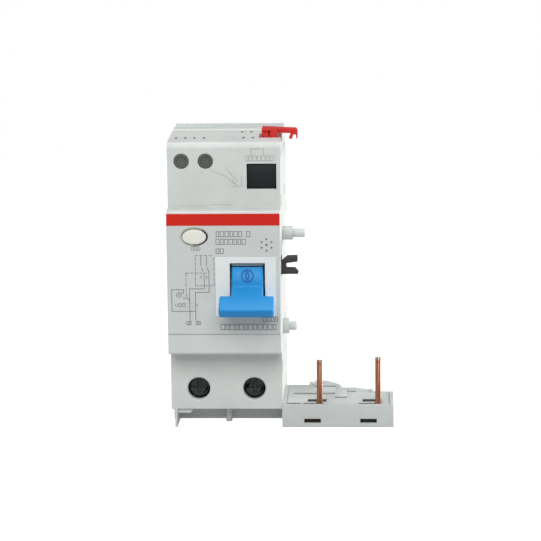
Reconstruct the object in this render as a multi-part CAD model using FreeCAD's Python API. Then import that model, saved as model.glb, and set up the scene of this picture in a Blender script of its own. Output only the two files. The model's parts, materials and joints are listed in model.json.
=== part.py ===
"""Two-pole residual current block that clips to the side of a modular breaker.

Units are millimetres.  +X is the device's right as it faces the user, -Y is its front and +Z is up.
The origin is the middle of the face that seats on the 35 mm mounting rail.
"""
import FreeCAD, Part
import math
import os

V = FreeCAD.Vector

# ---- driving dimensions -------------------------------------------------------------------
HALF_W = 17.5            # two 17.5 mm modules
WALL = 1.6               # moulded wall of the housing
COVER_T = 1.5            # thickness of the side cover
NOSE_Y = -50.8           # front of the 45 mm nose
NOSE_Z = 22.5            # half height of the nose
UPPER_Y = -44.0          # front of the shoulder above the nose
LOWER_Y = -42.1          # front of the terminal shoulder below the nose
TOP_Z = 43.7             # top of the housing
SHOULDER_Z = -41.8       # underside of the terminal shoulder
BASE_Z = -47.4           # the plane that the device stands on
BACK_Y = 5.5             # back of the housing, behind the rail seat
RECESS_Y = -31.3         # front of the wall behind the recess under the terminals
RAIL_Z = 17.9            # half height of the seat for the 35 mm rail
HOOK_Y = 1.2             # depth of the slot that the rail's edge enters
HOOK_Z = 15.2            # lower lip of the fixed hook

TOGGLE_X = 7.4           # middle of the toggle
TOGGLE_Y = -43.0         # axis of the toggle
TOGGLE_Z = -1.0
DRUM_R = 9.5
DRUM_HALF = 4.9
GRIP_HALF = 8.4
TIP_R = 20.7             # reach of the toggle's grip from its axis
REST_ANGLE = 21.3        # the toggle points this far below level when it is off

BUTTON_X = -8.9
BUTTON_Z = 14.55
TERMINAL_X = 8.75        # distance of each terminal from the middle
TERMINAL_Z = -35.3
SHAFT_Y = -27.0          # axis of the trip shaft
SHAFT_Z = 4.0
LATCH_X = 12.7           # axis of the locking latch
LATCH_Z = 42.4
LATCH_PIN_R = 0.5
TOROID_Y = -12.0
TOROID_Z = -8.0

WING_END = 52.5          # right end of the terminal wing
WING_TOP = -40.2
WING_FRONT = -43.6
CONTACT_PIN_X = (29.2, 47.6)
CONTACT_PIN_TOP = (-27.2, -26.2)
SLOT_X = (28.3, 45.7)    # middle of each window in the wing's cover

SIDE_X = HALF_W - COVER_T        # the seam between housing and side cover
INNER_X = -HALF_W + WALL
INNER_BACK = -WALL


# ---- helpers ------------------------------------------------------------------------------
def block(x0, x1, y0, y1, z0, z1):
    """Box between two corners."""
    return Part.makeBox(x1 - x0, y1 - y0, z1 - z0, V(x0, y0, z0))


def rod_x(x0, x1, y, z, r):
    return Part.makeCylinder(r, x1 - x0, V(x0, y, z), V(1, 0, 0))


def rod_y(y0, y1, x, z, r):
    return Part.makeCylinder(r, y1 - y0, V(x, y0, z), V(0, 1, 0))


def rod_z(z0, z1, x, y, r):
    return Part.makeCylinder(r, z1 - z0, V(x, y, z0), V(0, 0, 1))


def prism_x(points, x0, x1):
    """Solid along X with its outline given as (y, z) points."""
    loop = [V(x0, y, z) for y, z in points]
    return Part.Face(Part.makePolygon(loop + loop[:1])).extrude(V(x1 - x0, 0, 0))


def prism_y(points, y0, y1):
    """Solid along Y with its outline given as (x, z) points."""
    loop = [V(x, y0, z) for x, z in points]
    return Part.Face(Part.makePolygon(loop + loop[:1])).extrude(V(0, y1 - y0, 0))


def prism_z(points, z0, z1):
    """Solid along Z with its outline given as (x, y) points."""
    loop = [V(x, y, z0) for x, y in points]
    return Part.Face(Part.makePolygon(loop + loop[:1])).extrude(V(0, 0, z1 - z0))


def oval_wire(x, y, z, width, height):
    """Ellipse in the plane Y = y, wider than it is high."""
    curve = Part.Ellipse(V(x + width / 2.0, y, z), V(x, y, z + height / 2.0), V(x, y, z))
    return Part.Wire([curve.toShape()])


def oval_y(x, z, width, height, y0, y1):
    """Elliptical bar along Y."""
    return Part.Face(oval_wire(x, y0, z, width, height)).extrude(V(0, y1 - y0, 0))


def flare_y(x, z, width, height, y0, grow, depth):
    """Cutter that flares an elliptical hole towards -Y from y0 + depth to y0."""
    wide = oval_wire(x, y0 - 0.01, z, width + 2 * grow, height + 2 * grow)
    return Part.makeLoft([wide, oval_wire(x, y0 + depth, z, width, height)], True)


def cone_y(y0, y1, x, z, r0, r1):
    return Part.makeCone(r0, r1, y1 - y0, V(x, y0, z), V(0, 1, 0))


def ring(start, axis, outer, inner, length):
    """Tube of revolution."""
    return Part.makeCylinder(outer, length, start, axis).cut(Part.makeCylinder(inner, length, start, axis))


def edges_along(shape, axis, test):
    """Straight edges that run along an axis and whose middle passes a test."""
    found = []
    for edge in shape.Edges:
        if len(edge.Vertexes) != 2 or edge.Curve.TypeId != "Part::GeomLine":
            continue
        run = edge.Vertexes[1].Point.sub(edge.Vertexes[0].Point)
        if abs(run.dot(axis)) > 0.999 * run.Length and test(edge.CenterOfMass):
            found.append(edge)
    return found


def wire_along(points, r):
    """Round wire: straight runs joined by tangent arcs."""
    count = len(points)
    pieces = []
    here = points[0]
    for i in range(1, count - 1):
        before = points[i - 1].sub(points[i])
        after = points[i + 1].sub(points[i])
        half = before.getAngle(after) / 2.0
        trim = min(0.45 * min(before.Length, after.Length), 6.0)
        before.normalize()
        after.normalize()
        start = points[i].add(before * trim)
        end = points[i].add(after * trim)
        inward = before.add(after)
        inward.normalize()
        bend = trim * math.tan(half)
        middle = points[i].add(inward * (math.hypot(trim, bend) - bend))
        pieces.append(Part.LineSegment(here, start).toShape())
        pieces.append(Part.Arc(start, middle, end).toShape())
        here = end
    pieces.append(Part.LineSegment(here, points[-1]).toShape())
    path = Part.Wire(pieces)
    section = Part.Wire([Part.makeCircle(r, points[0], points[1].sub(points[0]))])
    return path.makePipeShell([section], True, False)


def coil_spring(start, axis, mean_r, wire_r, length, turns):
    """Helical spring whose axis leaves start."""
    helix = Part.makeHelix(length / turns, length, mean_r)
    rise = length / turns / (2 * math.pi * mean_r)
    section = Part.Wire([Part.makeCircle(wire_r, V(mean_r, 0, 0), V(0, 1, rise))])
    spring = Part.Wire(helix.Edges).makePipeShell([section], True, True)
    spring.Placement = FreeCAD.Placement(start, FreeCAD.Rotation(V(0, 0, 1), axis))
    return spring


def save(name, shape):
    """Write one node and report what it holds."""
    shape.exportStep("parts/" + name + ".step")
    facts = (name, len(shape.Solids), shape.Volume, shape.isValid())
    print("%-22s solids %2d  volume %10.2f  valid %s" % facts)


# ---- the moulded case ---------------------------------------------------------------------
TOP_CORNER = (V(0, UPPER_Y, 41.0), V(0, -43.4, 42.43), V(0, -42.0, 43.0))
REAR_TOP_Z = 44.4


def case_outline(x):
    """Closed side outline of the case at a given X."""
    points = [
        (-42.0, 43.0), (-25.4, TOP_Z), (-19.0, TOP_Z + 0.1), (-18.8, TOP_Z + 0.5), (-7.2, TOP_Z + 0.55),
        (-5.4, REAR_TOP_Z), (BACK_Y, 35.0), (BACK_Y, HOOK_Z - 1.0), (HOOK_Y + 1.4, HOOK_Z - 1.0),
        (HOOK_Y, HOOK_Z), (HOOK_Y, RAIL_Z), (0, RAIL_Z), (0, -RAIL_Z), (BACK_Y, -RAIL_Z),
        (BACK_Y, -40.0), (-4.0, BASE_Z), (RECESS_Y, BASE_Z), (RECESS_Y, SHOULDER_Z), (LOWER_Y, SHOULDER_Z),
        (LOWER_Y, -NOSE_Z), (NOSE_Y, -NOSE_Z), (NOSE_Y, NOSE_Z), (UPPER_Y, NOSE_Z), (UPPER_Y, 41.0),
    ]
    edges = [Part.LineSegment(V(x, *a), V(x, *b)).toShape() for a, b in zip(points, points[1:])]
    start, middle, end = [V(x, p.y, p.z) for p in TOP_CORNER]
    edges.append(Part.Arc(start, middle, end).toShape())
    return Part.Face(Part.Wire(edges))


def case_solid(x0, x1):
    """Outer shape of the case between two X planes, with its front corners eased."""
    body = case_outline(x0).extrude(V(x1 - x0, 0, 0))

    def nose_corner(p):
        return p.y < NOSE_Y + 0.1

    def inner_step(p):
        return abs(p.z + NOSE_Z) < 0.1 and abs(p.y - LOWER_Y) < 0.1

    body = body.makeFillet(0.8, edges_along(body, V(1, 0, 0), nose_corner))
    return body.makeFillet(2.2, edges_along(body, V(1, 0, 0), inner_step))


def cavity():
    """The hollow inside the case."""
    nose_in = NOSE_Y + WALL
    points = [
        (nose_in, NOSE_Z - WALL), (UPPER_Y + WALL, NOSE_Z - WALL), (UPPER_Y + WALL, 38.8),
        (-40.4, 40.6), (-36.8, 41.3), (-5.4, 42.4), (INNER_BACK, 38.0),
        (INNER_BACK, -44.4), (-4.4, BASE_Z + WALL), (RECESS_Y + WALL, BASE_Z + WALL),
        (RECESS_Y + WALL, SHOULDER_Z + 1.4), (LOWER_Y + WALL, SHOULDER_Z + 1.4),
        (LOWER_Y + WALL, -NOSE_Z + WALL), (nose_in, -NOSE_Z + WALL),
    ]
    return prism_x(points, INNER_X, SIDE_X)


RIVETS = ((-12.0, 38.6), (-36.0, 38.9), (-12.5, -27.5), (-46.6, 18.9), (-46.2, -18.2))
RIVET_R = 1.2
RIVET_HEAD_R = 2.0

LATCH_Y = (-34.4, -26.6)       # front and back of the locking latch
ARM_Y = -30.4                  # front of the latch's arm
NOTCH_X = 10.6
NOTCH_Z = 41.3


def rivet_holes():
    """Rivet bores with the counterbores for their heads."""
    holes = []
    for y, z in RIVETS:
        holes.append(rod_x(-HALF_W - 1, HALF_W + 1, y, z, RIVET_R))
        holes.append(rod_x(-HALF_W - 1, -HALF_W + 0.5, y, z, RIVET_HEAD_R))
        holes.append(rod_x(HALF_W - 0.5, HALF_W + 1, y, z, RIVET_HEAD_R))
    return holes


def latch_notch():
    """Open notch at the top right corner that holds the locking latch."""
    return block(NOTCH_X, HALF_W + 1, LATCH_Y[0] - 0.4, LATCH_Y[1] + 0.4, NOTCH_Z, 50)


def terminal_features(body):
    """Screwdriver holes with collars, wire entries and the wall between the poles."""
    for side in (-1, 1):
        x = side * TERMINAL_X
        collar = ring(V(x, LOWER_Y + WALL - 0.2, TERMINAL_Z), V(0, 1, 0), 4.6, 3.52, 1.1)
        body = body.fuse(collar)
        body = body.cut(rod_y(LOWER_Y - 1, LOWER_Y + 3, x, TERMINAL_Z, 3.52))
        body = body.cut(cone_y(LOWER_Y - 0.1, LOWER_Y + 0.35, x, TERMINAL_Z, 3.97, 3.52))
        body = body.cut(block(x - 3.5, x + 3.5, -28.6, -22.9, BASE_Z - 1, BASE_Z + WALL + 0.1))
    divider = block(-0.6, 0.6, LOWER_Y + 0.5, -22.8, BASE_Z + 0.5, -24.5)
    below_shoulder = block(-1, 1, LOWER_Y, RECESS_Y + 0.1, BASE_Z, SHOULDER_Z + 0.4)
    return body.fuse(divider.cut(below_shoulder))


def recess_features():
    """End wall, middle rib and lip that hang in the recess under the terminals."""
    end_wall = block(-16.3, -15.6, -43.4, RECESS_Y + 0.3, BASE_Z, SHOULDER_Z)
    end_wall = end_wall.fuse(block(-16.3, -15.6, LOWER_Y, RECESS_Y + 0.3, SHOULDER_Z - 0.1, SHOULDER_Z + 0.5))
    rib = block(-0.7, 1.1, -34.9, RECESS_Y + 0.3, BASE_Z, SHOULDER_Z + 0.5)
    rib = rib.fuse(rod_z(BASE_Z, SHOULDER_Z + 0.5, 0.2, -34.9, 0.9))
    lip = block(-16.0, -12.0, -41.2, -35.0, SHOULDER_Z - 1.5, SHOULDER_Z + 0.5)
    lip = lip.fuse(rod_y(-41.2, -35.0, -12.0, SHOULDER_Z - 0.5, 1.0))
    return [end_wall, rib, lip]


def rail_side_cuts():
    """Clip guide and weight-saving pockets in the back of the housing."""
    cuts = [block(-6.3, 6.3, HOOK_Y, BACK_Y + 1, BASE_Z - 1, -RAIL_Z + 1)]
    cuts.append(block(-4.6, 4.6, 0.1, HOOK_Y + 1, -38.0, -24.0))
    for x0, x1 in ((-15.4, -7.9), (7.9, 14.4)):
        cuts.append(block(x0, x1, 0.2, BACK_Y + 1, -36.5, -20.0))
    for x0, x1 in ((-15.4, -5.4), (-3.8, 4.2), (5.8, 14.4)):
        cuts.append(block(x0, x1, 2.0, BACK_Y + 1, 18.6, 33.2))
    return cuts


def top_details():
    """Shallow recess, label grooves and short vent slots moulded in the top."""
    cuts = []
    slots = [(-15.3 + 2.9 * i, -34.5) for i in range(4)]
    slots += [(4.8, -22.7), (7.7, -22.7), (5.9, -34.5), (8.8, -34.5)]
    for x, y in slots:
        cuts.append(block(x - 0.4, x + 0.4, y - 1.7, y + 1.7, 38, 46))
    for x0, x1 in ((-15.6, -11.9), (-7.9, -4.0)):
        cuts.append(block(x0, x1, -17.6, -16.9, TOP_Z + 0.1, 46))
    cuts.append(block(-HALF_W - 1, -4.0, -13.0, -7.6, TOP_Z - 0.1, 46))
    return cuts


def make_housing():
    """Deep shell with the left wall, front, top, base and rail side in one moulding."""
    body = case_solid(-HALF_W, SIDE_X).cut(cavity())
    body = terminal_features(body)
    body = body.fuse(recess_features())
    cuts = rail_side_cuts() + top_details() + rivet_holes() + [latch_notch()]
    cuts.append(block(TOGGLE_X - 5.4, TOGGLE_X + 5.4, NOSE_Y - 1, NOSE_Y + WALL + 1, -8.0, 6.0))
    cuts.append(rod_x(TOGGLE_X - 5.4, TOGGLE_X + 5.4, TOGGLE_Y, TOGGLE_Z, DRUM_R + 0.4))
    cuts.append(oval_y(BUTTON_X, BUTTON_Z, 7.85, 5.02, NOSE_Y - 1, NOSE_Y + WALL + 1))
    cuts.append(flare_y(BUTTON_X, BUTTON_Z, 7.85, 5.02, NOSE_Y, 0.45, 0.5))
    cuts.append(prism_x([(NOSE_Y - 0.1, 5.0), (NOSE_Y - 0.1, 6.9), (NOSE_Y + 0.9, 5.9), (NOSE_Y + 0.9, 5.0)],
                        TOGGLE_X - 5.4, TOGGLE_X + 5.4))
    cuts.append(block(7.15, 16.35, UPPER_Y - 1, UPPER_Y + WALL + 1, 28.4, 36.3))
    for x in (-13.1, -5.6):
        cuts.append(rod_y(UPPER_Y - 1, UPPER_Y + WALL + 1, x, 37.1, 2.37))
        cuts.append(cone_y(UPPER_Y - 0.1, UPPER_Y + 0.15, x, 37.1, 2.62, 2.37))
    body = body.cut(cuts)
    stop = block(-2.6, 2.6, 0.0, 4.0, -36.2, -35.1)
    lips = [block(x0, x0 + 1.1, 4.4, BACK_Y, -38.0, -20.0) for x0 in (-6.3, 5.2)]
    body = body.fuse([stop] + lips)
    floor = block(NOTCH_X - 1.0, SIDE_X, LATCH_Y[0] - 1.6, LATCH_Y[1] + 1.6, NOTCH_Z - 1.2, NOTCH_Z)
    side = block(NOTCH_X - 1.0, NOTCH_X, LATCH_Y[0] - 1.6, LATCH_Y[1] + 1.6, NOTCH_Z - 0.2, TOP_Z - 1.0)
    lugs = []
    for y in (LATCH_Y[0] - 1.6, LATCH_Y[1] + 0.4):
        lugs.append(block(NOTCH_X - 0.2, SIDE_X, y, y + 1.2, NOTCH_Z - 0.2, TOP_Z - 0.8))
    body = body.fuse([floor, side] + lugs)
    body = body.cut([rod_y(LATCH_Y[0] - 1.3, LATCH_Y[1] + 1.3, LATCH_X, LATCH_Z, LATCH_PIN_R)])
    return body.removeSplitter()


PEGS = ((12.4, 2.2, 20.9, 1.42, 24.8), (-17.5, 2.5, 19.5, 1.4, 22.0))
PEG_Y = -30.0
FORK_SLOT = (-42.2, -37.3, 0.4, 11.6)


def make_side_cover():
    """Flat cover that closes the right side, with its two locating pegs."""
    body = case_solid(SIDE_X, HALF_W)
    for z, collar_r, collar_x, pin_r, pin_x in PEGS:
        body = body.fuse(rod_x(SIDE_X, collar_x, PEG_Y, z, collar_r))
        pin = rod_x(SIDE_X, pin_x, PEG_Y, z, pin_r)
        body = body.fuse(pin.makeChamfer(0.35, [e for e in pin.Edges if e.CenterOfMass.x > pin_x - 0.01][:1]))
    cuts = rivet_holes() + [latch_notch()]
    cuts.append(block(SIDE_X - 1, HALF_W + 1, *FORK_SLOT))
    cuts.append(block(SIDE_X - 1, 16.35, UPPER_Y - 1, UPPER_Y + WALL + 1, 28.4, 36.3))
    cuts.append(block(SIDE_X - 1, HALF_W + 1, -22.8, -15.2, -45.2, -41.2))
    return body.cut(cuts).removeSplitter()


def make_rivets():
    """Five through rivets that hold the case together."""
    rivets = []
    for y, z in RIVETS:
        shank = rod_x(-HALF_W, HALF_W, y, z, RIVET_R)
        heads = [rod_x(-HALF_W, -HALF_W + 0.5, y, z, RIVET_HEAD_R),
                 rod_x(HALF_W - 0.5, HALF_W, y, z, RIVET_HEAD_R)]
        rivet = shank.fuse(heads).removeSplitter()
        mouths = [rod_x(-HALF_W - 1, -HALF_W + 1.2, y, z, 0.7), rod_x(HALF_W - 1.2, HALF_W + 1, y, z, 0.7)]
        rivets.append(rivet.cut(mouths))
    return Part.makeCompound(rivets)


# ---- what is fitted in the front ----------------------------------------------------------
STRIPE_Z = (18.05, 21.7)


def make_label():
    """Printed film on the nose with cut-outs for the toggle and the test button."""
    film = block(-HALF_W, HALF_W, NOSE_Y - 0.15, NOSE_Y, -16.0, STRIPE_Z[0])
    film = film.cut(block(-2.5, 16.3, NOSE_Y - 1, NOSE_Y + 1, -10.3, 8.4))
    return film.cut(oval_y(BUTTON_X, BUTTON_Z, 8.85, 6.02, NOSE_Y - 1, NOSE_Y + 1))


def make_stripe():
    """Coloured strip across the top of the nose."""
    return block(-HALF_W, HALF_W, NOSE_Y - 0.2, NOSE_Y, *STRIPE_Z)


def make_window_insert():
    """Dark insert that closes the square window in the upper shoulder."""
    return block(7.2, 16.3, UPPER_Y + 0.7, UPPER_Y + WALL, 28.45, 36.25)


def make_blank_plugs():
    """Two round plugs in the upper shoulder."""
    plugs = []
    for x in (-13.1, -5.6):
        plug = rod_y(UPPER_Y + 0.25, UPPER_Y + WALL + 0.6, x, 37.1, 2.36)
        plugs.append(plug.cut(rod_y(UPPER_Y, UPPER_Y + 0.6, x, 37.1, 1.5)))
    return Part.makeCompound(plugs)


def polar(r, degrees):
    """Point (y, z) at a radius and an angle above level, seen from the toggle's axis."""
    a = math.radians(degrees)
    return (TOGGLE_Y - r * math.cos(a), TOGGLE_Z + r * math.sin(a))


def make_toggle():
    """Drum with a tapered stem and a wide grip, pointing down in the off position."""
    x0 = TOGGLE_X - DRUM_HALF
    x1 = TOGGLE_X + DRUM_HALF
    drum = rod_x(x0, x1, TOGGLE_Y, TOGGLE_Z, DRUM_R)
    top_tip = polar(TIP_R, 6.5 - REST_ANGLE)
    low_tip = polar(TIP_R - 1.6, -3.5 - REST_ANGLE)
    root_top = polar(DRUM_R - 0.4, 23.5 - REST_ANGLE)
    root_low = polar(DRUM_R - 0.4, -14.0 - REST_ANGLE)
    wide_top = polar(13.4, 13.6 - REST_ANGLE)
    wide_low = polar(13.4, -8.6 - REST_ANGLE)
    stem = prism_x([root_top, wide_top, wide_low, root_low], x0, x1)
    grip = prism_x([wide_top, top_tip, low_tip, wide_low], TOGGLE_X - GRIP_HALF, TOGGLE_X + GRIP_HALF)
    body = drum.fuse([stem, grip])
    bore = rod_x(x0 - 1, x1 + 1, TOGGLE_Y, TOGGLE_Z, 1.28)
    body = body.cut([bore, rod_x(x1 - 3.4, x1 + 1, TOGGLE_Y, TOGGLE_Z, 3.6)])
    return body.removeSplitter()


def make_test_button():
    """Elliptical push button with a retaining flange and a round stem."""
    cap = oval_y(BUTTON_X, BUTTON_Z, 7.45, 4.62, NOSE_Y - 1.0, NOSE_Y + WALL + 0.3)
    rim = [e for e in cap.Edges if abs(e.CenterOfMass.y - (NOSE_Y - 1.0)) < 0.01]
    cap = cap.makeFillet(0.5, rim)
    flange = oval_y(BUTTON_X, BUTTON_Z, 9.0, 6.0, NOSE_Y + WALL + 0.1, NOSE_Y + WALL + 1.1)
    stem = rod_y(NOSE_Y + WALL + 0.5, -44.2, BUTTON_X, BUTTON_Z, 1.3)
    return cap.fuse([flange, stem]).removeSplitter()


# ---- mechanism ----------------------------------------------------------------------------
def make_mechanism_frame():
    """Two cheek plates joined by a rear web; it carries the toggle pin and the trip shaft."""
    outline = [(-48.6, -10.0), (-48.6, 8.6), (-40.0, 11.5), (-20.4, 11.5),
               (-20.4, -3.0), (-30.0, -12.0), (-44.0, -12.0)]
    cheeks = [prism_x(outline, x, x + 1.0) for x in (0.9, 12.9)]
    web = block(1.4, 13.4, -21.4, -20.4, -2.8, 9.0)
    body = cheeks[0].fuse([cheeks[1], web]).removeSplitter()
    body = body.cut([rod_x(0, 15, TOGGLE_Y, TOGGLE_Z, 1.2), rod_x(0, 15, SHAFT_Y, SHAFT_Z, 1.06)])
    return body


def make_toggle_pin():
    return rod_x(0.6, 14.2, TOGGLE_Y, TOGGLE_Z, 1.2)


def make_toggle_spring():
    """Return spring coiled round the toggle pin inside the drum's pocket."""
    return coil_spring(V(TOGGLE_X + 2.0, TOGGLE_Y, TOGGLE_Z), V(1, 0, 0), 2.4, 0.25, 2.4, 2.5)


FORK_X = (14.3, 15.6)


def make_trip_fork():
    """Black lever whose open claw reaches out of the right side to the breaker's trip pin."""
    hub = rod_x(FORK_X[0], FORK_X[1], SHAFT_Y, SHAFT_Z, 2.6)
    arm = prism_x([(-41.6, 1.2), (-41.6, 6.8), (-38.6, 6.8),
                   (SHAFT_Y, SHAFT_Z + 2.4), (SHAFT_Y, SHAFT_Z - 2.4),
                   (-38.6, 1.2)], *FORK_X)
    claw = prism_y([(FORK_X[0], 1.2), (FORK_X[0], 6.8), (17.7, 6.8), (17.7, 5.3), (19.4, 6.8), (22.6, 6.85),
                    (22.6, 5.1), (19.4, 4.7), (19.1, 4.4), (19.1, 3.3), (19.4, 3.0), (21.8, 3.0),
                    (22.9, 1.8), (22.8, 1.2)], -41.6, -38.6)
    body = hub.fuse([arm, claw]).removeSplitter()
    return body.cut(rod_x(FORK_X[0] - 1, FORK_X[1] + 1, SHAFT_Y, SHAFT_Z, 1.0))


def make_trip_shaft():
    """Steel shaft with the small lever that the relay pushes."""
    shaft = rod_x(0.4, FORK_X[1], SHAFT_Y, SHAFT_Z, 1.0)
    lever = block(6.6, 8.2, SHAFT_Y - 5.4, SHAFT_Y, SHAFT_Z - 0.8, SHAFT_Z + 0.8)
    return shaft.fuse(lever).removeSplitter()


RELAY = (1.2, 14.2, -38.0, -18.0, 15.5, 35.5)
RELAY_Y = -31.3          # axis of the relay's plunger


def make_relay_case():
    """Sealed box of the trip relay."""
    x0, x1, y0, y1, z0, z1 = RELAY
    body = block(*RELAY).cut(block(x0 + 1, x1 - 1, y0 + 1, y1 - 1, z0 + 1, z1 - 1))
    return body.cut(rod_z(z0 - 1, z0 + 2, 7.4, RELAY_Y, 0.95))


def make_relay_coil():
    """Bobbin wound with fine wire, standing in the relay case."""
    x0, x1, y0, y1, z0, z1 = RELAY
    spool = ring(V(7.4, RELAY_Y, z0 + 4), V(0, 0, 1), 3.9, 1.5, 11.5)
    flanges = [ring(V(7.4, RELAY_Y, z), V(0, 0, 1), 5.0, 1.5, 0.8) for z in (z0 + 3.2, z0 + 15.5)]
    foot = ring(V(7.4, RELAY_Y, z0 + 1), V(0, 0, 1), 2.4, 1.5, 2.2)
    return spool.fuse(flanges + [foot]).removeSplitter()


def make_relay_plunger():
    """Pin that the relay pushes down to trip the mechanism."""
    return rod_z(7.6, 29.0, 7.4, RELAY_Y, 0.9).fuse(rod_z(27.4, 29.0, 7.4, RELAY_Y, 1.3)).removeSplitter()


# ---- test circuit -------------------------------------------------------------------------
BOARD = (-15.2, -1.2, -41.0, -39.6, 6.0, 37.0)


def make_circuit_board():
    return block(*BOARD)


def make_test_resistor():
    """Axial resistor behind the board with its two bent leads."""
    body = rod_x(-12.6, -4.2, -37.6, 28.0, 1.6)
    leads = []
    for x0, x1, x in ((-14.2, -12.4, -14.2), (-4.4, -2.6, -2.6)):
        leads.append(rod_x(x0, x1, -37.6, 28.0, 0.35))
        leads.append(rod_y(BOARD[3], -37.3, x, 28.0, 0.35))
    return body.fuse(leads)


def make_test_contact():
    """Fixed contact stud on the board, facing the button's stem."""
    stud = rod_y(-42.3, BOARD[2], BUTTON_X, BUTTON_Z, 1.0)
    return stud.fuse(rod_y(BOARD[2] - 0.3, BOARD[2], BUTTON_X, BUTTON_Z, 1.5)).removeSplitter()


def make_test_spring():
    """Compression spring between the button's flange and the board."""
    start = NOSE_Y + WALL + 1.1 + 0.32
    return coil_spring(V(BUTTON_X, start, BUTTON_Z), V(0, 1, 0), 2.1, 0.28, BOARD[2] - 0.32 - start, 5.5)


# ---- summation transformer ----------------------------------------------------------------
def make_toroid_case():
    """Ring-shaped plastic case of the summation transformer."""
    outer = ring(V(0, TOROID_Y - 5, TOROID_Z), V(0, 1, 0), 11.4, 4.4, 10.0)
    return outer.cut(ring(V(0, TOROID_Y - 4.2, TOROID_Z), V(0, 1, 0), 10.6, 5.2, 8.4))


def make_toroid_core():
    return ring(V(0, TOROID_Y - 2.8, TOROID_Z), V(0, 1, 0), 9.2, 6.6, 5.6)


def make_toroid_winding():
    """Turns of the secondary winding, one loop after the other round the core."""
    outer = ring(V(0, TOROID_Y - 3.7, TOROID_Z), V(0, 1, 0), 10.1, 5.7, 7.4)
    sleeve = outer.cut(ring(V(0, TOROID_Y - 2.85, TOROID_Z), V(0, 1, 0), 9.25, 6.55, 5.7))
    turns = []
    for i in range(18):
        wedge = block(-0.32, 0.32, TOROID_Y - 5, TOROID_Y + 5, TOROID_Z + 5, TOROID_Z + 11)
        turns.append(sleeve.common(wedge.rotated(V(0, 0, TOROID_Z), V(0, 1, 0), i * 20.0)))
    return Part.makeCompound(turns)


CONDUCTOR_R = 1.4
WING_WIRE_Z = -43.3
BUSBAR_Z = (-45.7, -44.7)


def make_conductor(side):
    """Insulated lead from a terminal, through the transformer and on to the wing."""
    x = side * TERMINAL_X
    inner = side * 2.1
    points = [V(x, -29.3, -22.0), V(x, -29.3, -17.0), V(inner, -19.5, TOROID_Z), V(inner, -4.0, TOROID_Z)]
    if side > 0:
        points += [V(inner, -4.0, WING_WIRE_Z), V(8.0, -17.4, WING_WIRE_Z), V(22.0, -17.4, WING_WIRE_Z)]
    else:
        points += [V(inner, -4.0, WING_WIRE_Z), V(inner, -20.8, WING_WIRE_Z), V(22.0, -20.8, WING_WIRE_Z)]
    return wire_along(points, CONDUCTOR_R)


# ---- terminals ----------------------------------------------------------------------------
SCREW_FRONT = -39.3
BAR_Y = (-30.1, -28.5)


def make_terminal_screw(side):
    """Terminal screw with a combined cross and slot drive."""
    x = side * TERMINAL_X
    screw = rod_y(SCREW_FRONT, SCREW_FRONT + 2.4, x, TERMINAL_Z, 3.2)
    screw = screw.makeFillet(0.4, [e for e in screw.Edges if abs(e.CenterOfMass.y - SCREW_FRONT) < 0.01])
    screw = screw.fuse(rod_y(SCREW_FRONT + 2, BAR_Y[0], x, TERMINAL_Z, 2.3)).removeSplitter()
    slot = block(x - 2.6, x + 2.6, SCREW_FRONT - 1, SCREW_FRONT + 1.1, TERMINAL_Z - 0.45, TERMINAL_Z + 0.45)
    cross = block(x - 0.6, x + 0.6, SCREW_FRONT - 1, SCREW_FRONT + 1.5, TERMINAL_Z - 1.9, TERMINAL_Z + 1.9)
    return screw.cut([slot, cross])


def make_clamp_cage(side):
    """Rectangular cage that the screw draws forward to grip the wire."""
    x = side * TERMINAL_X
    cage = block(x - 4.7, x + 4.7, -32.3, -21.3, -39.9, -30.7)
    cage = cage.cut(block(x - 3.5, x + 3.5, -30.3, -23.1, -41, -29))
    return cage.cut(rod_y(-33, -30, x, TERMINAL_Z, 2.36))


def make_terminal_bar(side):
    """Contact bar that the wire is pressed against."""
    x = side * TERMINAL_X
    return block(x - 3.2, x + 3.2, BAR_Y[0], BAR_Y[1], -39.2, -22.0)


# ---- rail clip ----------------------------------------------------------------------------
def make_din_clip():
    """Sprung slider that grips the lower edge of the rail."""
    plate = [(1.5, -45.6), (1.5, -17.2), (1.5, -16.6), (2.6, -15.4),
             (4.2, -15.4), (4.2, -39.0), (3.0, -42.2), (3.0, -45.6)]
    body = prism_x(plate, -5.9, 5.9)
    window = block(-3.4, 3.4, 0, 6, -36.6, -25.6)
    slot = block(-2.2, 2.2, 0, 6, -45.0, -43.4)
    return body.cut([window, slot])


def make_clip_spring():
    """Spring in the clip's window that pushes the clip up against the rail."""
    return coil_spring(V(0, 2.6, -34.7), V(0, 0, 1), 1.7, 0.3, 8.7, 6.0)


# ---- locking latch ------------------------------------------------------------------------
def make_locking_latch():
    """Red lever that hooks over the neighbouring breaker."""
    y0, y1 = LATCH_Y
    barrel = rod_y(y0, y1, LATCH_X, LATCH_Z, 1.0)
    head = prism_y([(11.5, LATCH_Z), (11.5, 46.0), (16.3, 45.8), (16.3, 41.6), (LATCH_X, 41.6)], y0, y1)
    arm = prism_y([(15.0, 45.8), (22.0, 45.5), (22.5, 45.0), (22.5, 42.4), (22.2, 42.4), (22.0, 43.7),
                   (21.2, 43.6), (20.8, 42.2), (19.8, 42.5), (20.4, 44.1), (15.0, 44.3)], ARM_Y, y1)
    body = barrel.fuse([head, arm]).removeSplitter()
    grooves = [block(13.5, 14.1, y0 - 1, y0 + 1.4, 43.6, 45.4), block(11.9, 13.6, y0 - 1, y0 + 0.5, 44.9, 45.2)]
    return body.cut([rod_y(y0 - 1, y1 + 1, LATCH_X, LATCH_Z, LATCH_PIN_R + 0.05)] + grooves)


def make_latch_pin():
    return rod_y(LATCH_Y[0] - 1.3, LATCH_Y[1] + 1.3, LATCH_X, LATCH_Z, LATCH_PIN_R)


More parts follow.
